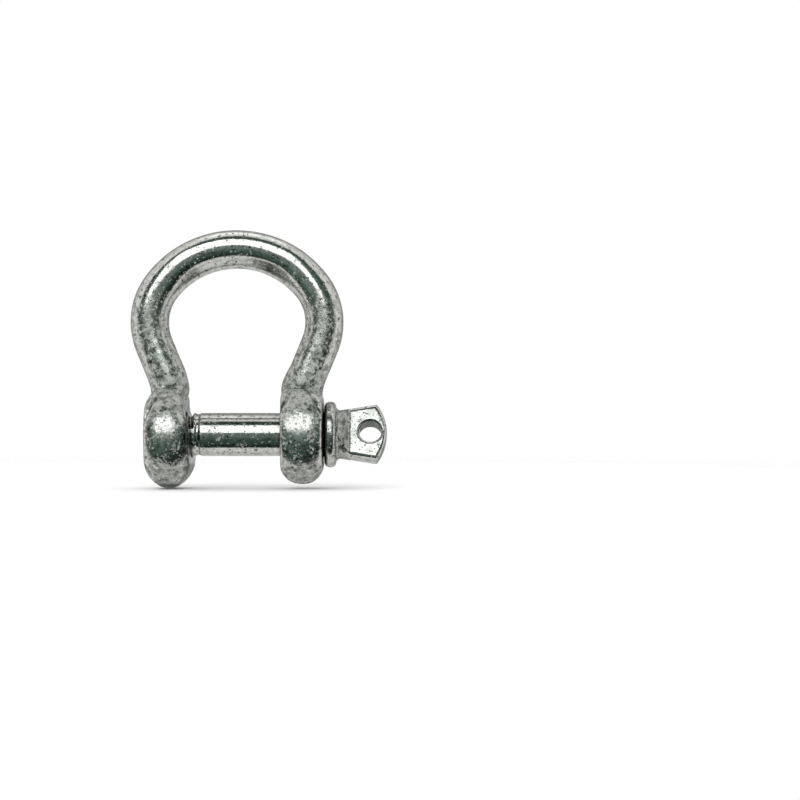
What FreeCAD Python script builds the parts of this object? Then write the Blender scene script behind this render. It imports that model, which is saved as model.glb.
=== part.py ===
import FreeCAD, Part
import math
import os
import Sketcher
from FreeCAD import Placement, Rotation, Vector

# Bow shackle, 10 mm size: a round bar forged into a bow with an eye at each foot, and a screw pin.
# Frame: origin on the pin's axis midway between the eyes, +X along the pin towards its head,
# +Z from the pin to the crown, so the bow lies in the XZ plane. Millimetres and degrees.

X_AXIS = Vector(1, 0, 0)
Z_AXIS = Vector(0, 0, 1)
START = 1
END = 2
CENTRE = 3
TOUCH = 1e-4

DIMENSIONS = {
    # bow: the centreline of the bar
    "bar_diameter": 8.9,
    "crown_height": 42.3,
    "crown_radius": 21.9,
    "side_radius": 13.6,
    "bow_half_width": 20.0,
    "leg_lean": 22.6,
    "foot_radius": 14.0,
    "foot_spread": 30.4,
    "foot_height": 5.0,
    # bow: the two eyes, which a hammer forging leaves a little unlike each other
    "jaw_width": 20.4,
    "screw_eye_width": 10.3,
    "screw_eye_radius": 12.0,
    "screw_eye_rim": 8.8,
    "screw_eye_corner": 1.1,
    "screw_eye_nose": 3.6,
    "screw_eye_shoulder": 7.0,
    "screw_eye_drop": 0.4,
    "plain_eye_width": 9.6,
    "plain_eye_radius": 11.5,
    "plain_eye_rim": 11.3,
    "plain_eye_corner": 0.9,
    "plain_eye_nose": 5.6,
    "plain_eye_shoulder": 4.5,
    "plain_eye_drop": -0.1,
    "screw_bore": 10.3,
    "plain_bore": 11.0,
    "bore_chamfer": 0.5,
    "crease_fillet": 0.8,
    # screw pin
    "pin_diameter": 10.0,
    "thread_start": 10.2,
    "thread_end": 19.6,
    "thread_pitch": 1.5,
    "thread_depth": 0.92,
    "relief_middle": 8.75,
    "relief_width": 1.3,
    "relief_depth": 0.25,
    "tip_chamfer": 1.0,
    "collar_gap": 0.2,
    "collar_diameter": 15.2,
    "collar_width": 2.75,
    "collar_rounding": 1.15,
    "neck_diameter": 10.9,
    "neck_fillet": 0.9,
    "head_diameter": 14.0,
    "head_end": 34.4,
    "head_end_radius": 11.5,
    "plate_thickness": 4.6,
    "plate_start": 25.8,
    "ramp_start": 23.1,
    "plate_edge_fillet": 1.0,
    "eye_hole_diameter": 5.1,
    "eye_hole_position": 30.5,
    "eye_hole_chamfer": 0.4,
    "head_turn": 24.0,
}

doc = FreeCAD.newDocument("BowShackle")
sheet = doc.addObject("Spreadsheet::Sheet", "Dims")
for row, (name, value) in enumerate(DIMENSIONS.items(), start=1):
    sheet.set(f"A{row}", name)
    sheet.set(f"B{row}", str(value))
    sheet.setAlias(f"B{row}", name)
doc.recompute()


def size(name):
    """A driving dimension, read back from the sheet."""
    return float(sheet.get(name))


def new_body(name):
    body = doc.addObject("PartDesign::Body", name)
    body.Label = name
    return body


def new_sketch(body, name, plane, offset=None):
    """A sketch on one of the body's own origin planes, XZ_Plane being the plane of the bow."""
    sketch = body.newObject("Sketcher::SketchObject", name)
    support = next(f for f in body.Origin.OriginFeatures if f.Role == plane)
    sketch.AttachmentSupport = [(support, "")]
    sketch.MapMode = "FlatFace"
    if offset:
        sketch.AttachmentOffset = offset
    return sketch


def drive(sketch, name, expression, *constraint):
    """Adds a sized constraint and binds it to the sheet."""
    index = sketch.addConstraint(Sketcher.Constraint(*constraint))
    sketch.renameConstraint(index, name)
    sketch.setExpression(f"Constraints.{name}", expression)


def join(sketch, first, first_end, second, second_end, kind="Coincident"):
    sketch.addConstraint(Sketcher.Constraint(kind, first, first_end, second, second_end))


def arc(centre, radius, start, stop):
    """An anticlockwise arc of a circle in a sketch, its angles in radians."""
    circle = Part.Circle(Vector(centre[0], centre[1], 0), Z_AXIS, radius)
    return Part.ArcOfCircle(circle, start, stop)


def line(start, stop):
    return Part.LineSegment(Vector(start[0], start[1], 0), Vector(stop[0], stop[1], 0))


def circle_names(shape, fits):
    """Names of the shape's full circles whose curve passes the test."""
    names = []
    for index, edge in enumerate(shape.Edges, start=1):
        if edge.Degenerated or not edge.Closed:
            continue
        if edge.Curve.TypeId == "Part::GeomCircle" and fits(edge.Curve):
            names.append(f"Edge{index}")
    return names


def about_pin_axis(curve):
    return math.hypot(curve.Center.y, curve.Center.z) < TOUCH


# ---- bow ---------------------------------------------------------------------------------

def bar_centreline(body):
    """Half of the bow's centreline: crown arc, side arc, leaning leg, foot bend and upright foot."""
    sketch = new_sketch(body, "BarCentreline", "XZ_Plane")
    crown_r = size("crown_radius")
    side_r = size("side_radius")
    foot_r = size("foot_radius")
    lean = math.radians(size("leg_lean"))
    foot_x = size("foot_spread") / 2
    crown_z = size("crown_height") - crown_r
    side_x = size("bow_half_width") - side_r
    side_z = crown_z + math.sqrt((crown_r - side_r) ** 2 - side_x ** 2)
    meet = math.atan2(side_z - crown_z, side_x)
    leg_top = (side_x + side_r * math.cos(lean), side_z - side_r * math.sin(lean))
    bend_x = foot_x + foot_r
    run = (leg_top[0] - bend_x + foot_r * math.cos(lean)) / math.sin(lean)
    leg_end = (leg_top[0] - run * math.sin(lean), leg_top[1] - run * math.cos(lean))
    bend_z = leg_end[1] - foot_r * math.sin(lean)
    crown = sketch.addGeometry(arc((0, crown_z), crown_r, meet, math.pi / 2))
    side = sketch.addGeometry(arc((side_x, side_z), side_r, -lean, meet))
    leg = sketch.addGeometry(line(leg_top, leg_end))
    bend = sketch.addGeometry(arc((bend_x, bend_z), foot_r, math.pi - lean, math.pi))
    foot = sketch.addGeometry(line((foot_x, bend_z), (foot_x, size("foot_height"))))
    join(sketch, crown, START, side, END, "Tangent")
    join(sketch, side, START, leg, START, "Tangent")
    join(sketch, leg, END, bend, START, "Tangent")
    join(sketch, bend, END, foot, START, "Tangent")
    sketch.addConstraint(Sketcher.Constraint("PointOnObject", crown, CENTRE, -2))
    sketch.addConstraint(Sketcher.Constraint("PointOnObject", crown, END, -2))
    sketch.addConstraint(Sketcher.Constraint("Vertical", foot))
    drive(sketch, "crown_radius", "Dims.crown_radius", "Radius", crown, crown_r)
    drive(sketch, "crown_centre", "Dims.crown_height - Dims.crown_radius",
          "DistanceY", -1, START, crown, CENTRE, crown_z)
    drive(sketch, "side_radius", "Dims.side_radius", "Radius", side, side_r)
    drive(sketch, "side_centre", "Dims.bow_half_width - Dims.side_radius",
          "DistanceX", -1, START, side, CENTRE, side_x)
    drive(sketch, "leg_lean", "90 - Dims.leg_lean", "Angle", -1, START, leg, END,
          math.pi / 2 - lean)
    drive(sketch, "foot_radius", "Dims.foot_radius", "Radius", bend, foot_r)
    drive(sketch, "foot_x", "Dims.foot_spread / 2", "DistanceX", -1, START, foot, END, foot_x)
    drive(sketch, "foot_height", "Dims.foot_height", "DistanceY", -1, START, foot, END,
          size("foot_height"))
    return sketch


def bar_section(body):
    """The bar's round section, at the crown where the half bow begins."""
    sketch = new_sketch(body, "BarSection", "YZ_Plane")
    circle = Part.Circle(Vector(0, size("crown_height"), 0), Z_AXIS, size("bar_diameter") / 2)
    ring = sketch.addGeometry(circle)
    sketch.addConstraint(Sketcher.Constraint("PointOnObject", ring, CENTRE, -2))
    drive(sketch, "bar_diameter", "Dims.bar_diameter", "Diameter", ring, size("bar_diameter"))
    drive(sketch, "crown_height", "Dims.crown_height", "DistanceY", -1, START, ring, CENTRE,
          size("crown_height"))
    return sketch


def eye_sketch(body, name, part, side):
    """A sketch beside the pin's axis: across is outwards from the jaw, up is down from the axis.

    side is 1 at the pin's head and -1 at its thread.
    """
    turn = Rotation(X_AXIS if side > 0 else Z_AXIS, 180)
    sketch = new_sketch(body, f"{name}_{part}", "XZ_Plane", Placement(Vector(0, 0, 0), turn))
    sketch.setExpression("AttachmentOffset.Base.y", f"-Dims.{name}_drop")
    return sketch


def rounded_end(sketch, name, nose_name, shoulder_name):
    """A nose arc between two shoulder arcs, which meet the eye's jaw face and outer face squarely."""
    width = size(f"{name}_width")
    nose_r = size(nose_name)
    shoulder_r = size(shoulder_name)
    jaw = size("jaw_width") / 2
    nose_v = size(f"{name}_radius") - nose_r
    spread = nose_r - shoulder_r
    across = width / 2 - shoulder_r
    shoulder_v = nose_v + math.copysign(math.sqrt(spread ** 2 - across ** 2), spread)
    if spread < 0:
        meet = math.atan2(nose_v - shoulder_v, -across)
    else:
        meet = math.atan2(shoulder_v - nose_v, across)
    inner = sketch.addGeometry(
        arc((jaw + shoulder_r, shoulder_v), shoulder_r, math.pi - meet, math.pi))
    nose = sketch.addGeometry(arc((jaw + width / 2, nose_v), nose_r, meet, math.pi - meet))
    outer = sketch.addGeometry(arc((jaw + width - shoulder_r, shoulder_v), shoulder_r, 0, meet))
    join(sketch, inner, START, nose, END, "Tangent")
    join(sketch, nose, START, outer, END, "Tangent")
    join(sketch, inner, END, inner, CENTRE, "Horizontal")
    join(sketch, outer, START, outer, CENTRE, "Horizontal")
    sketch.addConstraint(Sketcher.Constraint("Equal", inner, outer))
    drive(sketch, "jaw", "Dims.jaw_width / 2", "DistanceX", -1, START, inner, END, jaw)
    drive(sketch, "middle", f"(Dims.jaw_width + Dims.{name}_width) / 2",
          "DistanceX", -1, START, nose, CENTRE, jaw + width / 2)
    drive(sketch, "nose_radius", f"Dims.{nose_name}", "Radius", nose, nose_r)
    drive(sketch, "nose_height", f"Dims.{name}_radius - Dims.{nose_name}",
          "DistanceY", -1, START, nose, CENTRE, nose_v)
    drive(sketch, "shoulder_radius", f"Dims.{shoulder_name}", "Radius", inner, shoulder_r)
    return inner, outer, shoulder_v


def eye(body, name, side):
    """A forged eye: a disc about the pin's direction with flat faces and a crowned rim.

    The dies then round its ends off, above and below, to the narrower outline seen from the front.
    """
    jaw = size("jaw_width") / 2
    outer_face = jaw + size(f"{name}_width")
    outline = eye_sketch(body, name, "outline", side)
    inner, outer, level = rounded_end(outline, name, f"{name}_rim", f"{name}_corner")
    base = outline.addGeometry(line((outer_face, 0), (jaw, 0)))
    jaw_face = outline.addGeometry(line((jaw, 0), (jaw, level)))
    outer_side = outline.addGeometry(line((outer_face, level), (outer_face, 0)))
    join(outline, base, END, jaw_face, START)
    join(outline, jaw_face, END, inner, END)
    join(outline, outer, START, outer_side, START)
    join(outline, outer_side, END, base, START)
    outline.addConstraint(Sketcher.Constraint("PointOnObject", base, START, -1))
    outline.addConstraint(Sketcher.Constraint("PointOnObject", base, END, -1))
    outline.addConstraint(Sketcher.Constraint("Vertical", jaw_face))
    outline.addConstraint(Sketcher.Constraint("Vertical", outer_side))
    disc = body.newObject("PartDesign::Revolution", f"{name}_disc")
    disc.Profile = outline
    disc.ReferenceAxis = (outline, ["H_Axis"])
    disc.Angle = 360
    body.Tip = disc
    doc.recompute()

    waste = eye_sketch(body, name, "waste", side)
    inner, outer, level = rounded_end(waste, name, f"{name}_nose", f"{name}_shoulder")
    clear = size("bar_diameter") / 2
    far = size(f"{name}_radius") + clear
    corners = [(outer_face, level), (outer_face + clear, level), (outer_face + clear, far),
               (jaw - clear, far), (jaw - clear, level), (jaw, level)]
    edges = [waste.addGeometry(line(a, b)) for a, b in zip(corners, corners[1:])]
    for first, second in zip(edges, edges[1:]):
        join(waste, first, END, second, START)
    join(waste, outer, START, edges[0], START)
    join(waste, edges[-1], END, inner, END)
    for level_edge in edges[0::2]:
        waste.addConstraint(Sketcher.Constraint("Horizontal", level_edge))
    for upright in edges[1::2]:
        waste.addConstraint(Sketcher.Constraint("Vertical", upright))
    drive(waste, "outer_clear", "Dims.bar_diameter / 2",
          "DistanceX", edges[0], START, edges[0], END, clear)
    drive(waste, "jaw_clear", "Dims.bar_diameter / 2",
          "DistanceX", edges[4], START, edges[4], END, clear)
    drive(waste, "reach", f"Dims.{name}_radius + Dims.bar_diameter / 2",
          "DistanceY", -1, START, edges[2], START, far)
    lower = body.newObject("PartDesign::Pocket", f"{name}_lower_end")
    lower.Profile = waste
    lower.Type = "Length"
    lower.Midplane = True
    lower.setExpression("Length", f"4 * Dims.{name}_radius")
    body.Tip = lower
    doc.recompute()
    both = body.newObject("PartDesign::Mirrored", f"{name}_both_ends")
    both.Originals = [lower]
    both.MirrorPlane = (waste, ["H_Axis"])
    body.Tip = both
    doc.recompute()
    return both


def eye_bore(body, name, side):
    """The hole through one eye, cut from the middle of the jaw outwards."""
    sketch = new_sketch(body, f"{name}_circle", "YZ_Plane")
    ring = sketch.addGeometry(Part.Circle(Vector(0, 0, 0), Z_AXIS, size(name) / 2))
    sketch.addConstraint(Sketcher.Constraint("Coincident", ring, CENTRE, -1, START))
    drive(sketch, "bore_diameter", f"Dims.{name}", "Diameter", ring, size(name))
    pocket = body.newObject("PartDesign::Pocket", name)
    pocket.Profile = sketch
    pocket.Type = "Length"
    pocket.setExpression("Length", "Dims.jaw_width + Dims.screw_eye_width")
    pocket.Reversed = side > 0
    body.Tip = pocket
    return pocket


def crease_edges(shape):
    """The edges where the bar runs into the eyes: they cross from the front to the back."""
    names = []
    reach = size("bar_diameter") / 4
    for index, edge in enumerate(shape.Edges, start=1):
        box = edge.BoundBox
        low_enough = box.ZMax < size("plain_eye_radius") + 2 * size("crease_fillet")
        above_bore = box.ZMin > size("plain_bore") / 2
        crosses = box.YMin < -reach and box.YMax > reach
        if low_enough and above_bore and crosses:
            names.append(f"Edge{index}")
    return names


def make_bow():
    body = new_body("bow")
    eye(body, "screw_eye", -1)
    eye(body, "plain_eye", 1)
    spine = bar_centreline(body)
    section = bar_section(body)
    half = body.newObject("PartDesign::AdditivePipe", "HalfBar")
    half.Profile = section
    half.Spine = spine
    body.Tip = half
    whole = body.newObject("PartDesign::Mirrored", "WholeBar")
    whole.Originals = [half]
    middle = next(f for f in body.Origin.OriginFeatures if f.Role == "YZ_Plane")
    whole.MirrorPlane = (middle, [""])
    body.Tip = whole
    doc.recompute()
    eye_bore(body, "screw_bore", -1)
    forged = eye_bore(body, "plain_bore", 1)
    doc.recompute()
    rims = body.newObject("PartDesign::Chamfer", "BoreRims")
    bore_radii = (size("screw_bore") / 2, size("plain_bore") / 2)
    rims.Base = (forged, circle_names(forged.Shape, lambda curve: about_pin_axis(curve)
                 and min(abs(curve.Radius - r) for r in bore_radii) < TOUCH))
    rims.setExpression("Size", "Dims.bore_chamfer")
    body.Tip = rims
    doc.recompute()
    crease = body.newObject("PartDesign::Fillet", "Creases")
    crease.Base = (rims, crease_edges(rims.Shape))
    crease.setExpression("Radius", "Dims.crease_fillet")
    body.Tip = crease
    doc.recompute()
    return body


# ---- screw pin ----------------------------------------------------------------------------

def blank_profile(body):
    """Half outline of the turned and forged pin blank: shank, collar, neck and tapering head."""
    sketch = new_sketch(body, "BlankProfile", "XZ_Plane")
    tip_x = -size("thread_end")
    shank_r = size("pin_diameter") / 2
    tip_c = size("tip_chamfer")
    collar_x = size("jaw_width") / 2 + size("plain_eye_width") + size("collar_gap")
    collar_r = size("collar_diameter") / 2
    neck_x = collar_x + size("collar_width")
    neck_r = size("neck_diameter") / 2
    end_x = size("head_end")
    end_r = size("head_end_radius")
    head_r = size("head_diameter") / 2
    dome_x = end_x - end_r
    wide_x = dome_x + math.sqrt(end_r ** 2 - head_r ** 2)
    corners = [(tip_x, 0), (tip_x, shank_r - tip_c), (tip_x + tip_c, shank_r), (collar_x, shank_r),
               (collar_x, collar_r), (neck_x, collar_r), (neck_x, neck_r), (wide_x, head_r)]
    sides = [sketch.addGeometry(line(a, b)) for a, b in zip(corners, corners[1:])]
    end_face, chamfer, shank, collar_seat, collar_rim, collar_back, taper = sides
    dome = sketch.addGeometry(arc((dome_x, 0), end_r, 0, math.asin(head_r / end_r)))
    axis = sketch.addGeometry(line((end_x, 0), (tip_x, 0)))
    for first, second in zip(sides, sides[1:]):
        join(sketch, first, END, second, START)
    join(sketch, taper, END, dome, END)
    join(sketch, dome, START, axis, START)
    join(sketch, axis, END, end_face, START)
    for upright in (end_face, collar_seat, collar_back):
        sketch.addConstraint(Sketcher.Constraint("Vertical", upright))
    for level in (shank, collar_rim):
        sketch.addConstraint(Sketcher.Constraint("Horizontal", level))
    for point, place in ((axis, START), (axis, END), (dome, CENTRE)):
        sketch.addConstraint(Sketcher.Constraint("PointOnObject", point, place, -1))
    drive(sketch, "tip", "Dims.thread_end", "DistanceX", end_face, START, -1, START, -tip_x)
    drive(sketch, "tip_length", "Dims.tip_chamfer", "DistanceX", chamfer, START, chamfer, END, tip_c)
    drive(sketch, "tip_height", "Dims.tip_chamfer", "DistanceY", chamfer, START, chamfer, END, tip_c)
    drive(sketch, "shank_radius", "Dims.pin_diameter / 2",
          "DistanceY", -1, START, shank, START, shank_r)
    drive(sketch, "collar_seat", "Dims.jaw_width / 2 + Dims.plain_eye_width + Dims.collar_gap",
          "DistanceX", -1, START, collar_seat, START, collar_x)
    drive(sketch, "collar_radius", "Dims.collar_diameter / 2",
          "DistanceY", -1, START, collar_rim, START, collar_r)
    drive(sketch, "collar_width", "Dims.collar_width",
          "DistanceX", collar_rim, START, collar_rim, END, neck_x - collar_x)
    drive(sketch, "neck_radius", "Dims.neck_diameter / 2",
          "DistanceY", -1, START, taper, START, neck_r)
    drive(sketch, "head_radius", "Dims.head_diameter / 2",
          "DistanceY", -1, START, taper, END, head_r)
    drive(sketch, "head_end", "Dims.head_end", "DistanceX", -1, START, dome, START, end_x)
    drive(sketch, "head_end_radius", "Dims.head_end_radius", "Radius", dome, end_r)
    return sketch


def flats_profile(body):
    """The two areas pressed away to leave the head's flat plate, each with a ramp at the neck."""
    sketch = new_sketch(body, "FlatsProfile", "XY_Plane")
    half = size("plate_thickness") / 2
    ramp_x = size("ramp_start")
    plate_x = size("plate_start")
    top = size("neck_diameter") / 2
    clear = size("head_diameter")
    beyond = size("head_end") + size("collar_width")
    for side, name in ((1, "back"), (-1, "front")):
        corners = [(ramp_x, side * top), (plate_x, side * half), (beyond, side * half),
                   (beyond, side * clear), (ramp_x, side * clear)]
        edges = [sketch.addGeometry(line(a, b)) for a, b in zip(corners, corners[1:] + corners[:1])]
        ramp, flat, outside, far_side, near_side = edges
        for first, second in zip(edges, edges[1:] + edges[:1]):
            join(sketch, first, END, second, START)
        for level in (flat, far_side):
            sketch.addConstraint(Sketcher.Constraint("Horizontal", level))
        for upright in (outside, near_side):
            sketch.addConstraint(Sketcher.Constraint("Vertical", upright))
        low, high = ((-1, START, flat, START), (-1, START, ramp, START))
        reach = (-1, START, far_side, START)
        if side < 0:
            low, high, reach = (low[2:] + low[:2]), (high[2:] + high[:2]), (reach[2:] + reach[:2])
        drive(sketch, f"{name}_half", "Dims.plate_thickness / 2", "DistanceY", *low, half)
        drive(sketch, f"{name}_ramp_top", "Dims.neck_diameter / 2", "DistanceY", *high, top)
        drive(sketch, f"{name}_clear", "Dims.head_diameter", "DistanceY", *reach, clear)
        drive(sketch, f"{name}_ramp_start", "Dims.ramp_start",
              "DistanceX", -1, START, ramp, START, ramp_x)
        drive(sketch, f"{name}_plate_start", "Dims.plate_start",
              "DistanceX", -1, START, flat, START, plate_x)
        drive(sketch, f"{name}_beyond", "Dims.head_end + Dims.collar_width",
              "DistanceX", -1, START, flat, END, beyond)
    return sketch


def thread_profile(body):
    """The section of the thread's groove, lying one turn beyond the pin's tip."""
    sketch = new_sketch(body, "ThreadProfile", "XZ_Plane")
    pitch = size("thread_pitch")
    major = size("pin_diameter") / 2
    depth = size("thread_depth")
    middle = -size("thread_end") - pitch
    clear = depth / 4
    slope = math.tan(math.radians(30))
    mouth = pitch * 7 / 16
    root = mouth - depth * slope
    lip = mouth + clear * slope
    corners = [(middle - lip, major + clear), (middle - root, major - depth),
               (middle + root, major - depth), (middle + lip, major + clear)]
    edges = [sketch.addGeometry(line(a, b)) for a, b in zip(corners, corners[1:] + corners[:1])]
    falling, bottom, rising, top = edges
    for first, second in zip(edges, edges[1:] + edges[:1]):
        join(sketch, first, END, second, START)
    for level in (bottom, top):
        sketch.addConstraint(Sketcher.Constraint("Horizontal", level))
    sketch.addConstraint(Sketcher.Constraint("Equal", falling, rising))
    drive(sketch, "flank", "60", "Angle", bottom, START, rising, START, math.radians(60))
    drive(sketch, "root_height", "Dims.pin_diameter / 2 - Dims.thread_depth",
          "DistanceY", -1, START, bottom, START, major - depth)
    drive(sketch, "top_height", "Dims.pin_diameter / 2 + Dims.thread_depth / 4",
          "DistanceY", -1, START, top, START, major + clear)
    drive(sketch, "root_start", "Dims.thread_end + Dims.thread_pitch * 23 / 16"
          " - Dims.thread_depth * 0.57735", "DistanceX", bottom, START, -1, START, -(middle - root))
    drive(sketch, "root_end", "Dims.thread_end + Dims.thread_pitch * 9 / 16"
          " + Dims.thread_depth * 0.57735", "DistanceX", bottom, END, -1, START, -(middle + root))
    return sketch


def relief_profile(body):
    """The section of the shallow groove turned between the thread and the plain shank."""
    sketch = new_sketch(body, "ReliefProfile", "XZ_Plane")
    width = size("relief_width")
    depth = size("relief_depth")
    radius = size("pin_diameter") / 2
    left = -size("relief_middle") - width / 2
    right = left + width
    corners = [(left, radius + depth), (left + depth, radius - depth), (right - depth, radius - depth),
               (right, radius + depth)]
    edges = [sketch.addGeometry(line(a, b)) for a, b in zip(corners, corners[1:] + corners[:1])]
    falling, bottom, rising, top = edges
    for first, second in zip(edges, edges[1:] + edges[:1]):
        join(sketch, first, END, second, START)
    for level in (bottom, top):
        sketch.addConstraint(Sketcher.Constraint("Horizontal", level))
    sketch.addConstraint(Sketcher.Constraint("Equal", falling, rising))
    drive(sketch, "bottom_height", "Dims.pin_diameter / 2 - Dims.relief_depth",
          "DistanceY", -1, START, bottom, START, radius - depth)
    drive(sketch, "top_height", "Dims.pin_diameter / 2 + Dims.relief_depth",
          "DistanceY", -1, START, top, START, radius + depth)
    drive(sketch, "width", "Dims.relief_width", "DistanceX", top, END, top, START, width)
    drive(sketch, "bottom_width", "Dims.relief_width - 2 * Dims.relief_depth",
          "DistanceX", bottom, START, bottom, END, width - 2 * depth)
    drive(sketch, "place", "Dims.relief_middle + Dims.relief_width / 2",
          "DistanceX", falling, START, -1, START, -left)
    return sketch


def plate_edges(shape):
    """Names of the long edges that bound the head's two flat faces, not the ramps' or the hole's."""
    names = []
    half = size("plate_thickness") / 2
    for index, edge in enumerate(shape.Edges, start=1):
        if edge.Degenerated:
            continue
        box = edge.BoundBox
        on_face = abs(abs(box.YMin) - half) < 1e-3 and abs(abs(box.YMax) - half) < 1e-3
        if on_face and box.XMax > size("plate_start") + 1 and box.YLength < 1e-3:
            names.append(f"Edge{index}")
    return names


def make_pin():
    body = new_body("screw_pin")
    collar_r = size("collar_diameter") / 2
    blank = body.newObject("PartDesign::Revolution", "Blank")
    outline = blank_profile(body)
    blank.Profile = outline
    blank.ReferenceAxis = (outline, ["H_Axis"])
    blank.Angle = 360
    body.Tip = blank
    doc.recompute()
    collar = body.newObject("PartDesign::Fillet", "CollarRim")
    collar.Base = (blank, circle_names(blank.Shape, lambda curve: abs(curve.Radius - collar_r) < TOUCH))
    collar.setExpression("Radius", "Dims.collar_rounding")
    body.Tip = collar
    doc.recompute()
    neck_r = size("neck_diameter") / 2
    neck = body.newObject("PartDesign::Fillet", "NeckRoot")
    neck.Base = (collar, circle_names(collar.Shape, lambda curve: abs(curve.Radius - neck_r) < TOUCH))
    neck.setExpression("Radius", "Dims.neck_fillet")
    body.Tip = neck
    doc.recompute()
    flats = body.newObject("PartDesign::Pocket", "Flats")
    flats.Profile = flats_profile(body)
    flats.Type = "Length"
    flats.Midplane = True
    flats.setExpression("Length", "2 * Dims.head_diameter")
    body.Tip = flats
    doc.recompute()
    plate = body.newObject("PartDesign::Fillet", "PlateEdges")
    plate.Base = (flats, plate_edges(flats.Shape))
    plate.setExpression("Radius", "Dims.plate_edge_fillet")
    body.Tip = plate
    doc.recompute()
    hole_sketch = new_sketch(body, "EyeHoleCircle", "XZ_Plane")
    place = Vector(size("eye_hole_position"), 0, 0)
    ring = hole_sketch.addGeometry(
        Part.Circle(place, Z_AXIS, size("eye_hole_diameter") / 2))
    hole_sketch.addConstraint(Sketcher.Constraint("PointOnObject", ring, CENTRE, -1))
    drive(hole_sketch, "hole", "Dims.eye_hole_diameter", "Diameter", ring,
          size("eye_hole_diameter"))
    drive(hole_sketch, "position", "Dims.eye_hole_position", "DistanceX", -1, START, ring, CENTRE,
          place.x)
    hole = body.newObject("PartDesign::Pocket", "EyeHole")
    hole.Profile = hole_sketch
    hole.Type = "Length"
    hole.Midplane = True
    hole.setExpression("Length", "2 * Dims.plate_thickness")
    body.Tip = hole
    doc.recompute()
    rims = body.newObject("PartDesign::Chamfer", "EyeHoleRims")
    rims.Base = (hole, circle_names(hole.Shape, lambda curve: abs(curve.Axis.y) > 1 - TOUCH))
    rims.setExpression("Size", "Dims.eye_hole_chamfer")
    body.Tip = rims
    doc.recompute()
    relief = body.newObject("PartDesign::Groove", "ThreadRelief")
    channel = relief_profile(body)
    relief.Profile = channel
    relief.ReferenceAxis = (channel, ["H_Axis"])
    relief.Angle = 360
    body.Tip = relief
    doc.recompute()
    thread = body.newObject("PartDesign::SubtractiveHelix", "Thread")
    groove = thread_profile(body)
    thread.Profile = groove
    thread.ReferenceAxis = (groove, ["H_Axis"])
    thread.Mode = 0
    thread.setExpression("Pitch", "Dims.thread_pitch")
    thread.setExpression("Height", "Dims.thread_end + Dims.thread_pitch - Dims.thread_start")
    thread.Angle = 0
    thread.LeftHanded = False
    body.Tip = thread
    body.Placement = Placement(Vector(0, 0, 0), Rotation(X_AXIS, -size("head_turn")))
    doc.recompute()
    return body


sub_parts = [make_bow(), make_pin()]
doc.recompute()

for item in doc.Objects:
    for state in ("Invalid", "Error"):
        if state in item.State:
            raise RuntimeError(f"{item.Name} is {item.State}")
for part in sub_parts:
    if part.Shape.isNull() or not part.Shape.isValid():
        raise RuntimeError(f"{part.Label} has no valid shape")

os.makedirs("parts", exist_ok=True)
for part in sub_parts:
    part.Shape.exportStep(f"parts/{part.Label}.step")
    box = part.Shape.BoundBox
    print(part.Label, f"{len(part.Shape.Solids)} solid, {part.Shape.Volume:.0f} mm3,",
          f"X {box.XMin:.2f}..{box.XMax:.2f} Y {box.YMin:.2f}..{box.YMax:.2f}",
          f"Z {box.ZMin:.2f}..{box.ZMax:.2f}")
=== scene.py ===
import math

import bpy
import numpy as np
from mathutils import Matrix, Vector


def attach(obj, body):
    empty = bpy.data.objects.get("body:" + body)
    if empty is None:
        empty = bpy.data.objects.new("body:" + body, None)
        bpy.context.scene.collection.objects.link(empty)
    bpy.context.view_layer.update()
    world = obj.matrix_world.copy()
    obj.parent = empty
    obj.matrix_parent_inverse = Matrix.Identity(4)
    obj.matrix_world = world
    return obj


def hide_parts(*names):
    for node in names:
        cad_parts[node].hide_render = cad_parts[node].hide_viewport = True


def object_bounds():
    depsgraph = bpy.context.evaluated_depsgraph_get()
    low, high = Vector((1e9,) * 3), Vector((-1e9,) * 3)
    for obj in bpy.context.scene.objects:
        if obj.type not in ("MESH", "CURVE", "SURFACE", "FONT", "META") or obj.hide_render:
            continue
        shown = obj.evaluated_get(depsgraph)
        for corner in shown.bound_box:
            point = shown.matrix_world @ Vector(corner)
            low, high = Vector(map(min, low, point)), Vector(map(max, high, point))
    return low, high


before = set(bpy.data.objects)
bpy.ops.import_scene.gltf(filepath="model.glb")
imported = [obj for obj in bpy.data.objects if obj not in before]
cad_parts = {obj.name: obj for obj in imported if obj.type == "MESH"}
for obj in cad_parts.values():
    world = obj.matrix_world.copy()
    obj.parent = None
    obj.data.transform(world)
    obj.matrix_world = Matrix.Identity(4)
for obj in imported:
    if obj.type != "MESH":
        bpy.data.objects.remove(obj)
cad_low, cad_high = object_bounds()

MM = 0.001
X_AXIS = 0
Y_AXIS = 1
Z_AXIS = 2


# ---- camera ---------------------------------------------------------------------------------

LENS_MM = 94.5
CAMERA_DISTANCE = 0.481
CAMERA_RIGHT = 0.0373
CAMERA_UP = 0.0079
CLIP_START = 0.01
CLIP_END = 20


def make_camera():
    """Square to the bow, level and just above the pin, with the bow left of the picture's middle."""
    data = bpy.data.cameras.new("Camera")
    data.lens = LENS_MM
    data.clip_start = CLIP_START
    data.clip_end = CLIP_END
    camera = bpy.data.objects.new("Camera", data)
    bpy.context.scene.collection.objects.link(camera)
    camera.location = (CAMERA_RIGHT, -CAMERA_DISTANCE, CAMERA_UP)
    camera.rotation_euler = (math.pi / 2, 0, 0)
    bpy.context.scene.camera = camera


# ---- noise for shapes -----------------------------------------------------------------------

LATTICE_SIZE = 4096
LATTICE_SHIFT = 64
NOISE_GAIN = 1.6


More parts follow.
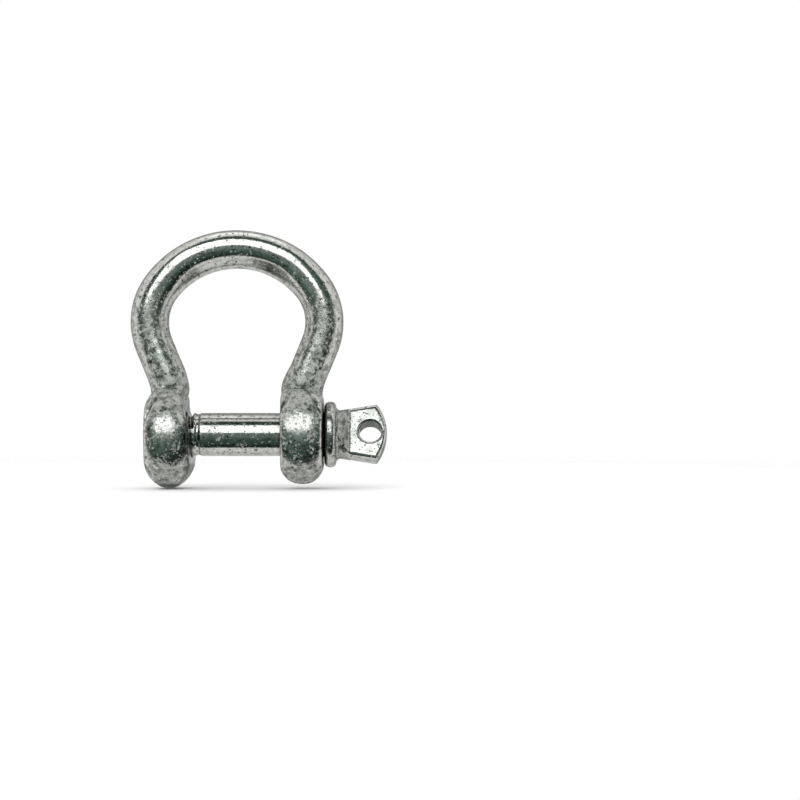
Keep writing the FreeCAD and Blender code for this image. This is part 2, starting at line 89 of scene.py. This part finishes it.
def lattice_noise(points, wavelength, seed):
    """Smooth seeded gradient noise of about -1 to 1 at each point, with the wavelength in metres."""
    rng = np.random.default_rng(seed)
    table = rng.permutation(LATTICE_SIZE)
    gradients = rng.normal(size=(LATTICE_SIZE, 3))
    gradients /= np.linalg.norm(gradients, axis=1)[:, None]
    scaled = points / wavelength + rng.uniform(0, LATTICE_SHIFT, 3)
    cell = np.floor(scaled).astype(np.int64)
    part = scaled - cell
    ease = part ** 3 * (part * (part * 6 - 15) + 10)
    total = np.zeros(len(points))
    for corner in np.ndindex(2, 2, 2):
        step = np.array(corner)
        x, y, z = (cell + step).T
        index = table[z % LATTICE_SIZE]
        index = table[(y + index) % LATTICE_SIZE]
        index = table[(x + index) % LATTICE_SIZE]
        weight = np.prod(np.where(step, ease, 1 - ease), axis=1)
        total += weight * np.einsum("ij,ij->i", gradients[index], part - step)
    return total * NOISE_GAIN


# ---- forged pieces --------------------------------------------------------------------------

WELD_DISTANCE = 0.001 * MM
SMOOTH_FACTOR = 0.5

# The crown's own shape is full up to the first angle from the top, and gone by the second.
CROWN_START = math.radians(25)
CROWN_END = math.radians(60)

# Where the crown's section is flattened, as an angle about the bar: 0 faces front or back, and
# minus a quarter turn faces the inside of the bow.
FLAT_MIDDLE = math.radians(-45)
FLAT_HALF_WIDTH = math.radians(40)

# The crease is cut where the surface faces the front or the back, and not where it is side on.
SIDE_ON = 0.3
FACE_ON = 0.8
# Shade painted into the crease at its deepest, from 0 to 1.
CREASE_PAINTED_SHADE = 0.95

PATCH_WAVE = 6 * MM
LUMP_WAVE = 11 * MM
RIPPLE_WAVE = 1.9 * MM
GRAIN_WAVE = 0.85 * MM
BRIGHT_RELIEF = 0.35
MATTE_RELIEF = 0.65
PATCH_RELIEF = 0.3

# The zinc is drawn in by this much, so that its lumps stay inside the CAD model's box.
SKIN_ALLOWANCE = 0.06 * MM


class Skin:
    """How matte a piece's zinc is along one axis: stops of (place in mm, share of matte grains)."""

    def __init__(self, axis, stops):
        self.axis = axis
        self.stops = stops

    def at(self, points):
        """The share of matte grains at each point."""
        places, shares = zip(*self.stops)
        return np.interp(points[:, self.axis] / MM, places, shares)


def remeshed(node, name, voxel, passes):
    """A fine, even copy of a CAD node's mesh, at the same place, with its edges eased."""
    piece = bpy.data.objects.new(name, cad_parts[node].data.copy())
    bpy.context.scene.collection.objects.link(piece)
    weld = piece.modifiers.new("Weld", "WELD")
    weld.merge_threshold = WELD_DISTANCE
    remesh = piece.modifiers.new("Remesh", "REMESH")
    remesh.mode = "VOXEL"
    remesh.voxel_size = voxel
    smooth = piece.modifiers.new("Smooth", "SMOOTH")
    smooth.factor = SMOOTH_FACTOR
    smooth.iterations = passes
    depsgraph = bpy.context.evaluated_depsgraph_get()
    mesh = bpy.data.meshes.new_from_object(piece.evaluated_get(depsgraph))
    piece.modifiers.clear()
    piece.data = mesh
    mesh.name = name
    mesh.materials.clear()
    return piece


def vertices_of(piece):
    """Each vertex's place, in metres, and its normal."""
    arrays = []
    for name in ("co", "normal"):
        values = np.empty(len(piece.data.vertices) * 3)
        piece.data.vertices.foreach_get(name, values)
        arrays.append(values.reshape(-1, 3))
    return arrays


def move_vertices(piece, points):
    piece.data.vertices.foreach_set("co", points.ravel())
    piece.data.update()


def eased(share):
    """Turns a straight fade from 0 to 1 into one that leaves and arrives gently."""
    share = np.clip(share, 0, 1)
    return share * share * (3 - 2 * share)


def nearness(points, centre, reach):
    """1 at a place and 0 beyond its reach along each axis, all in mm."""
    away = np.linalg.norm((points / MM - np.array(centre)) / np.array(reach), axis=1)
    return eased(1 - away)


def press(piece, centre, reach, push):
    """Moves the surface about a place, all in mm, fading out at the reach along each axis."""
    points, _ = vertices_of(piece)
    share = nearness(points, centre, reach)
    move_vertices(piece, points + share[:, None] * np.array(push) * MM)


def darken_zinc(piece, share):
    """Adds to the darkening, from 0 to 1, that the zinc shows at each vertex. Some of it is painted
    shade.
    """
    layers = piece.data.attributes
    layer = layers.get("grime") or layers.new("grime", "FLOAT", "POINT")
    before = np.empty(len(piece.data.vertices))
    layer.data.foreach_get("value", before)
    layer.data.foreach_set("value", np.clip(before + share, 0, 1))


def darken_zinc_about(piece, centre, reach, amount):
    """Darkening about a place, in mm, fading out at the reach along each axis."""
    points, _ = vertices_of(piece)
    darken_zinc(piece, amount * nearness(points, centre, reach))


def crease(piece, top, middle, bend, width, depth):
    """Cuts a shallow arch where each leg runs into its eye, at the front and back, all in mm, and
    paints shade into it.

    The arch's top is at one height, over the eye's middle, and it falls by the bend times the
    square of the distance from there.
    """
    points, normals = vertices_of(piece)
    x, z = np.abs(points[:, X_AXIS]) / MM, points[:, Z_AXIS] / MM
    away = np.abs(z - top + bend * (x - middle) ** 2) / width
    facing = np.interp(np.abs(normals[:, Y_AXIS]), (SIDE_ON, FACE_ON), (0, 1))
    share = facing * np.clip(1 - away, 0, 1)
    move_vertices(piece, points - normals * (depth * MM * share ** 2)[:, None])
    # Paints shade along the crease.
    darken_zinc(piece, CREASE_PAINTED_SHADE * share)


def upset_crown(piece, bar_radius, crown_radius, swell, flat):
    """Fattens the outer half of the crown's bar and thins its inner half, as bending it does.

    The inner corners are also flattened, where the bar bore on its former.
    """
    points, normals = vertices_of(piece)
    rise = points[:, Z_AXIS] - (cad_high.z - bar_radius - crown_radius)
    outward = np.hypot(points[:, X_AXIS], rise) - crown_radius
    around = np.arctan2(outward, np.abs(points[:, Y_AXIS]))
    from_top = np.abs(np.arctan2(points[:, X_AXIS], rise))
    share = eased((CROWN_END - from_top) / (CROWN_END - CROWN_START))
    across = np.clip((around - FLAT_MIDDLE) / FLAT_HALF_WIDTH, -1, 1)
    height = swell * np.sin(2 * around) - flat * np.cos(across * math.pi / 2) ** 2
    move_vertices(piece, points + normals * (share * height)[:, None])


def galvanise(piece, skin, lump, ripple, grain, seed):
    """Moves the surface in and out: the forging's lumps, the zinc's ripples and its grains."""
    points, normals = vertices_of(piece)
    rough = BRIGHT_RELIEF + MATTE_RELIEF * skin.at(points)
    rough += PATCH_RELIEF * lattice_noise(points, PATCH_WAVE, seed)
    height = lump * lattice_noise(points, LUMP_WAVE, seed + 1)
    height += ripple * rough * lattice_noise(points, RIPPLE_WAVE, seed + 2)
    height += grain * rough * lattice_noise(points, GRAIN_WAVE, seed + 3)
    move_vertices(piece, points + normals * (height - SKIN_ALLOWANCE)[:, None])
    for polygon in piece.data.polygons:
        polygon.use_smooth = True


# ---- nodes ----------------------------------------------------------------------------------

NOISE_ROUGHNESS = 0.55
CREVICE_SAMPLES = 8

# The mix node has sockets for every kind of value. These are its colour ones.
MIX_COLOURS = slice(6, 8)
MIX_RESULT = 2


class Nodes:
    """A node tree, with short calls for the nodes that the zinc, the floor and the world use.

    A curve is (low, high, what low gives, what high gives), and it is held at both ends.
    """

    def __init__(self, tree):
        self.tree = tree

    def new(self, kind):
        return self.tree.nodes.new(kind)

    def fill(self, socket, value):
        """Links another node's output to a socket, or sets it to a number or a colour."""
        if isinstance(value, bpy.types.NodeSocket):
            self.tree.links.new(value, socket)
        elif isinstance(value, tuple):
            socket.default_value = (*value, 1)
        else:
            socket.default_value = value

    def math(self, operation, *inputs):
        node = self.new("ShaderNodeMath")
        node.operation = operation
        for socket, value in zip(node.inputs, inputs):
            self.fill(socket, value)
        return node.outputs[0]

    def follow(self, curve, value, interpolation="LINEAR"):
        """What a curve gives for a value, in a straight line between its ends."""
        node = self.new("ShaderNodeMapRange")
        node.interpolation_type = interpolation
        self.fill(node.inputs["Value"], value)
        for name, number in zip(("From Min", "From Max", "To Min", "To Max"), curve):
            self.fill(node.inputs[name], number)
        return node.outputs["Result"]

    def ease(self, curve, value):
        """What a curve gives for a value, leaving and arriving gently."""
        return self.follow(curve, value, "SMOOTHSTEP")

    def split(self, vector):
        node = self.new("ShaderNodeSeparateXYZ")
        self.fill(node.inputs[0], vector)
        return node.outputs

    def place(self):
        """The place on the object, in metres."""
        return self.new("ShaderNodeTexCoord").outputs["Object"]

    def noise(self, wavelength, detail, seed):
        """A noise texture whose features are about one wavelength across, in metres."""
        node = self.new("ShaderNodeTexNoise")
        node.noise_dimensions = "4D"
        self.fill(node.inputs["Vector"], self.place())
        self.fill(node.inputs["W"], seed)
        self.fill(node.inputs["Scale"], 1 / wavelength)
        self.fill(node.inputs["Detail"], detail)
        self.fill(node.inputs["Roughness"], NOISE_ROUGHNESS)
        return node.outputs[0]

    def along(self, skin):
        """The skin's share of matte grains, as it changes along its axis."""
        first, last = skin.stops[0][0], skin.stops[-1][0]
        ramp = self.new("ShaderNodeValToRGB")
        place = self.split(self.place())[skin.axis]
        self.fill(ramp.inputs[0], self.follow((first * MM, last * MM, 0, 1), place))
        while len(ramp.color_ramp.elements) < len(skin.stops):
            ramp.color_ramp.elements.new(0.5)
        for element, (stop, value) in zip(ramp.color_ramp.elements, skin.stops):
            element.position = (stop - first) / (last - first)
            element.color = (value, value, value, 1)
        return ramp.outputs[0]

    def attribute(self, name):
        node = self.new("ShaderNodeAttribute")
        node.attribute_name = name
        return node.outputs["Fac"]

    def openness(self, distance, own):
        """1 in the open, and less where a surface, or the piece's own, is within the distance."""
        node = self.new("ShaderNodeAmbientOcclusion")
        node.samples = CREVICE_SAMPLES
        node.only_local = own
        self.fill(node.inputs["Distance"], distance)
        return node.outputs["AO"]

    def mix_colours(self, share, first, second):
        node = self.new("ShaderNodeMix")
        node.data_type = "RGBA"
        sockets = (node.inputs[0], *node.inputs[MIX_COLOURS])
        for socket, value in zip(sockets, (share, first, second)):
            self.fill(socket, value)
        return node.outputs[MIX_RESULT]

    def bump(self, height, distance):
        node = self.new("ShaderNodeBump")
        self.fill(node.inputs["Distance"], distance)
        self.fill(node.inputs["Height"], height)
        return node.outputs[0]

    def background(self, colour, strength):
        node = self.new("ShaderNodeBackground")
        self.fill(node.inputs["Color"], colour)
        self.fill(node.inputs["Strength"], strength)
        return node.outputs[0]

    def mix_shaders(self, share, first, second):
        node = self.new("ShaderNodeMixShader")
        for socket, value in zip(node.inputs, (share, first, second)):
            self.fill(socket, value)
        return node.outputs[0]


# ---- zinc -----------------------------------------------------------------------------------

GRAIN_SIZE = 0.58 * MM
DRIFT_SIZE = 2.6 * MM
PORE_SIZE = 0.65 * MM
STAIN_SIZE = 1.25 * MM
FINE_DETAIL = 4
STAIN_DETAIL = 3
PLAIN_DETAIL = 2

# The matte grains are where a mix of grains and drifts is under an edge that rises with the skin.
DRIFT_WEIGHT = 0.25
GRAIN_WEIGHT = 0.75
EDGE_LOW = 0.375
EDGE_RISE = 0.25
GRAIN_EDGE = (-0.06, 0.06, 1, 0)

STAIN_COLOUR = (0.095, 0.113, 0.102)
STAIN_STRENGTH = (0.38, 0.54, 0.8, 0)
STAIN_BY_SKIN = (0, 0.4, 0.3, 1)

# Grime lies in the pores. Shade is painted in hollows and in the gaps between pieces, and where the
# mesh carries darkening: painted shade in the eyes' creases and beside the pin, plain darkening
# elsewhere.
GRIME_AND_SHADE_COLOUR = (0.04, 0.048, 0.044)
PORE_GRIME = (0.33, 0.42, 0.9, 0)
PAINTED_SHADE_BY_OPENNESS = (0.55, 0.88, 0.9, 0)
DARKENING_PATCHES = (0.35, 0.65, 1.5, 0.5)
GAP = 1.5 * MM

MATTE_ROUGHNESS = 0.4
SKIN_ROUGHNESS = 0.1
SKIN_ROUGHENS = (0.05, 0.2)
METALLIC_BY_GRAIN = (0, 1, 1, 0.1)
RELIEF_BY_SKIN = (0, 0.4, 0.25, 1)


def zinc(name, skin, bright, matte, gloss, relief, hollow, seed):
    """Hot-dip zinc: bright metal under grains of pale matte skin, with dark pores and fine relief.

    skin says how much of the surface is matte at each place along one axis. Shade is painted where
    the piece faces itself across less than the hollow distance, and where another piece or the floor
    is within the gap.
    """
    material = bpy.data.materials.new(name)
    material.use_nodes = True
    graph = Nodes(material.node_tree)
    share = graph.along(skin)
    grains = graph.noise(GRAIN_SIZE, FINE_DETAIL, seed)
    drifts = graph.noise(DRIFT_SIZE, PLAIN_DETAIL, seed + 1)
    pores = graph.noise(PORE_SIZE, PLAIN_DETAIL, seed + 2)
    stains = graph.noise(STAIN_SIZE, STAIN_DETAIL, seed + 3)

    level = graph.math("MULTIPLY", grains, GRAIN_WEIGHT)
    level = graph.math("MULTIPLY_ADD", drifts, DRIFT_WEIGHT, level)
    edge = graph.math("MULTIPLY_ADD", share, EDGE_RISE, EDGE_LOW)
    dull = graph.follow(GRAIN_EDGE, graph.math("SUBTRACT", level, edge))
    colour = graph.mix_colours(dull, bright, matte)

    stain = graph.math("MULTIPLY", graph.follow(STAIN_STRENGTH, stains),
                       graph.follow(STAIN_BY_SKIN, share))
    colour = graph.mix_colours(stain, colour, STAIN_COLOUR)

    # The mesh's darkening, in patches: painted shade in the creases and beside the pin, plain
    # darkening elsewhere.
    grime = graph.math("MULTIPLY", graph.attribute("grime"), graph.follow(DARKENING_PATCHES, stains))
    grime = graph.math("MAXIMUM", grime, graph.follow(PORE_GRIME, pores))
    # Painted shade where the piece faces itself within the hollow distance, and where another piece
    # or the floor is within the gap.
    for openness in (graph.openness(hollow, True), graph.openness(GAP, False)):
        grime = graph.math("MAXIMUM", grime, graph.follow(PAINTED_SHADE_BY_OPENNESS, openness))
    colour = graph.mix_colours(grime, colour, GRIME_AND_SHADE_COLOUR)

    worn = graph.follow((*SKIN_ROUGHENS, gloss, gloss + SKIN_ROUGHNESS), share)
    roughness = graph.math("MULTIPLY_ADD", dull, MATTE_ROUGHNESS, worn)
    height = graph.math("MULTIPLY", grains, graph.follow(RELIEF_BY_SKIN, share))
    shader = material.node_tree.nodes["Principled BSDF"]
    graph.fill(shader.inputs["Base Color"], colour)
    graph.fill(shader.inputs["Roughness"], roughness)
    graph.fill(shader.inputs["Metallic"], graph.follow(METALLIC_BY_GRAIN, dull))
    graph.fill(shader.inputs["Normal"], graph.bump(height, relief))
    return material


# ---- studio ---------------------------------------------------------------------------------

# What the metal mirrors, as levels and curves of the direction's x, y (away from the camera) and z.
WHITE = (1, 1, 1)
DRAPE_COLOUR = (0.7, 1.1, 0.93)
DRAPE_LEVEL = 0.12
DRAPE_BY_Z = 0.05
DRAPE_BY_X = -0.03
DRAPE_BY_XZ = 0.12
DRAPE_LEAST = 0.02
DRAPE_DEPTH = (-0.8, -0.4, 1, 0.35)
DRAPE_END = (-0.3, -0.22, 0, 1)
DRAPE_END_BY_XX = 0.1
PALE_BY_Z = (-0.45, -0.15, 0, 0.11)
PALE_BY_Y = (-0.9, -0.75, 1, 0)
RING_STRENGTH = -0.4
RING_INSIDE = (0.6, 0.7, 0, 1)
RING_OUTSIDE = (0.93, 0.98, 1, 0)
RING_BY_Z = (-0.5, -0.2, 0, 1)
TENT_COLOUR = (1, 1, 0.985)
TENT_BY_Y = (-0.1, 0.6, 1, 0.75)

FLOOR_COLOUR = (0.93, 0.93, 0.93)
FLOOR_ROUGHNESS = 0.9
FLOOR_REACH = 0.4
FLOOR_FADE = (0.05, 0.3, 1, 0)


def make_world():
    """What the metal mirrors: a white tent, a dark drape in front and a grey ring behind.

    The drape is paler around the camera, except low down. The floor and the camera see plain white
    instead.
    """
    world = bpy.data.worlds.new("Studio")
    world.use_nodes = True
    world.node_tree.nodes.clear()
    bpy.context.scene.world = world
    sky = Nodes(world.node_tree)
    x, y, z = sky.split(sky.new("ShaderNodeTexCoord").outputs["Generated"])
    white = sky.background(WHITE, 1)

    tone = sky.math("MULTIPLY_ADD", z, DRAPE_BY_Z, DRAPE_LEVEL)
    tone = sky.math("MULTIPLY_ADD", x, DRAPE_BY_X, tone)
    tone = sky.math("MULTIPLY_ADD", sky.math("MULTIPLY", x, z), DRAPE_BY_XZ, tone)
    tone = sky.math("MULTIPLY", tone, sky.ease(DRAPE_DEPTH, y))
    drape = sky.background(DRAPE_COLOUR, sky.math("MAXIMUM", tone, DRAPE_LEAST))
    pale = sky.math("MULTIPLY", sky.ease(PALE_BY_Z, z), sky.ease(PALE_BY_Y, y))
    drape = sky.mix_shaders(pale, drape, white)

    ring = sky.math("MULTIPLY", sky.ease(RING_INSIDE, y), sky.ease(RING_OUTSIDE, y))
    ring = sky.math("MULTIPLY", ring, sky.ease(RING_BY_Z, z))
    tone = sky.math("MULTIPLY_ADD", ring, RING_STRENGTH, sky.ease(TENT_BY_Y, y))
    tent = sky.background(TENT_COLOUR, tone)
    reach = sky.math("MULTIPLY_ADD", sky.math("MULTIPLY", x, x), DRAPE_END_BY_XX, y)
    studio = sky.mix_shaders(sky.ease(DRAPE_END, reach), drape, tent)

    path = sky.new("ShaderNodeLightPath")
    plain = sky.math("MAXIMUM", path.outputs["Is Camera Ray"], path.outputs["Is Diffuse Ray"])
    out = sky.new("ShaderNodeOutputWorld")
    sky.fill(out.inputs["Surface"], sky.mix_shaders(plain, studio, white))


def softbox(name, azimuth, elevation, distance, width, height, radiance):
    """A rectangular lamp aimed at the origin, azimuth 0 being the camera's side."""
    turn, rise = math.radians(azimuth), math.radians(elevation)
    towards = Vector((math.sin(turn) * math.cos(rise), -math.cos(turn) * math.cos(rise),
                      math.sin(rise)))
    data = bpy.data.lights.new(name, "AREA")
    data.shape = "RECTANGLE"
    data.size = width
    data.size_y = height
    data.energy = radiance * math.pi * width * height
    lamp = bpy.data.objects.new(name, data)
    bpy.context.scene.collection.objects.link(lamp)
    lamp.location = towards * distance
    lamp.rotation_euler = towards.to_track_quat("Z", "Y").to_euler()


def make_floor(level):
    """A pale floor that fades into the white behind it, and that the metal doesn't mirror."""
    mesh = bpy.data.meshes.new("Floor")
    corners = [(-FLOOR_REACH, -FLOOR_REACH, level), (FLOOR_REACH, -FLOOR_REACH, level),
               (FLOOR_REACH, FLOOR_REACH, level), (-FLOOR_REACH, FLOOR_REACH, level)]
    mesh.from_pydata(corners, [], [(0, 1, 2, 3)])
    floor = bpy.data.objects.new("Floor", mesh)
    bpy.context.scene.collection.objects.link(floor)
    material = bpy.data.materials.new("PaleFloor")
    material.use_nodes = True
    graph = Nodes(material.node_tree)
    length = graph.new("ShaderNodeVectorMath")
    length.operation = "LENGTH"
    graph.fill(length.inputs[0], graph.place())
    shader = material.node_tree.nodes["Principled BSDF"]
    graph.fill(shader.inputs["Base Color"], FLOOR_COLOUR)
    graph.fill(shader.inputs["Roughness"], FLOOR_ROUGHNESS)
    graph.fill(shader.inputs["Alpha"], graph.ease(FLOOR_FADE, length.outputs["Value"]))
    mesh.materials.append(material)
    floor.visible_glossy = False


make_camera()
make_world()
softbox("Key", azimuth=-8, elevation=30.5, distance=1.0, width=1.1, height=0.71, radiance=2.1)
softbox("Top", azimuth=180, elevation=78, distance=1.0, width=0.8, height=0.42, radiance=0.6)
make_floor(cad_low.z)
bpy.context.scene.view_settings.view_transform = "Standard"


# ---- the bow --------------------------------------------------------------------------------

BAR_RADIUS = 4.45 * MM
CROWN_RADIUS = 21.9 * MM

# The crown and the eyes' rims have worn bright. The eyes' undersides and the legs' feet are matte.
BOW_SKIN = Skin(Z_AXIS, ((-12.4, 0.75), (-7.5, 0.7), (-6, 0.17), (3, 0.17), (5, 0.4), (9, 0.5),
                         (12, 0.5), (16, 0.3), (26, 0.25), (34, 0.04), (47, 0)))

bow = remeshed("bow", "forged_bow", voxel=0.28 * MM, passes=3)
upset_crown(bow, BAR_RADIUS, CROWN_RADIUS, swell=0.35 * MM, flat=0.3 * MM)
# The threaded eye's upper inner side is pressed in, and the other leg's foot swells inwards.
press(bow, centre=(-10, 0, 5.8), reach=(6, 40, 4.8), push=(-1.4, 0, 0))
press(bow, centre=(11, 0, 11), reach=(5, 12, 6), push=(-0.8, 0, 0))
crease(bow, top=10.75, middle=14.75, bend=0.25, width=1.1, depth=0.6)
# The tops of the two eyes are darkened. Shade is painted, with some grime, on the threaded eye's
# inner edge beside the pin.
darken_zinc_about(bow, centre=(-15, 0, 6.2), reach=(9, 40, 3.6), amount=0.35)
darken_zinc_about(bow, centre=(15, 0, 6.2), reach=(9, 40, 3.6), amount=0.25)
# Painted shade, with some grime, in the gap between the threaded eye and the pin.
darken_zinc_about(bow, centre=(-10.2, -9, -1.5), reach=(2, 9, 14), amount=1.4)
galvanise(bow, BOW_SKIN, lump=0.06 * MM, ripple=0.02 * MM, grain=0.02 * MM, seed=11)
bow.data.materials.append(zinc("ZincBow", BOW_SKIN, bright=(0.63, 0.635, 0.61),
                               matte=(0.328, 0.336, 0.31), gloss=0.15, relief=0.06 * MM,
                               hollow=2.5 * MM, seed=3))


# ---- the screw pin --------------------------------------------------------------------------

# The shank and the head's plate are bright. The neck's ramp is matte, and darkened.
PIN_SKIN = Skin(X_AXIS, ((-19.6, 0.15), (-9, 0.05), (19, 0), (20.5, 0.15), (22.6, 0.2), (23.5, 0.35),
                         (25.5, 0.35), (26.2, 0.02), (34.4, 0.05)))

pin = remeshed("screw_pin", "forged_pin", voxel=0.2 * MM, passes=3)
darken_zinc_about(pin, centre=(24.4, 0, 0), reach=(2, 40, 40), amount=0.4)
galvanise(pin, PIN_SKIN, lump=0.03 * MM, ripple=0.02 * MM, grain=0.015 * MM, seed=23)
pin.data.materials.append(zinc("ZincPin", PIN_SKIN, bright=(0.565, 0.57, 0.55),
                               matte=(0.293, 0.3, 0.278), gloss=0.12, relief=0.04 * MM,
                               hollow=7 * MM, seed=9))


# ---- pieces in the frame --------------------------------------------------------------------

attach(bow, "bow")
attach(pin, "pin")
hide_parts("bow")
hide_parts("screw_pin")
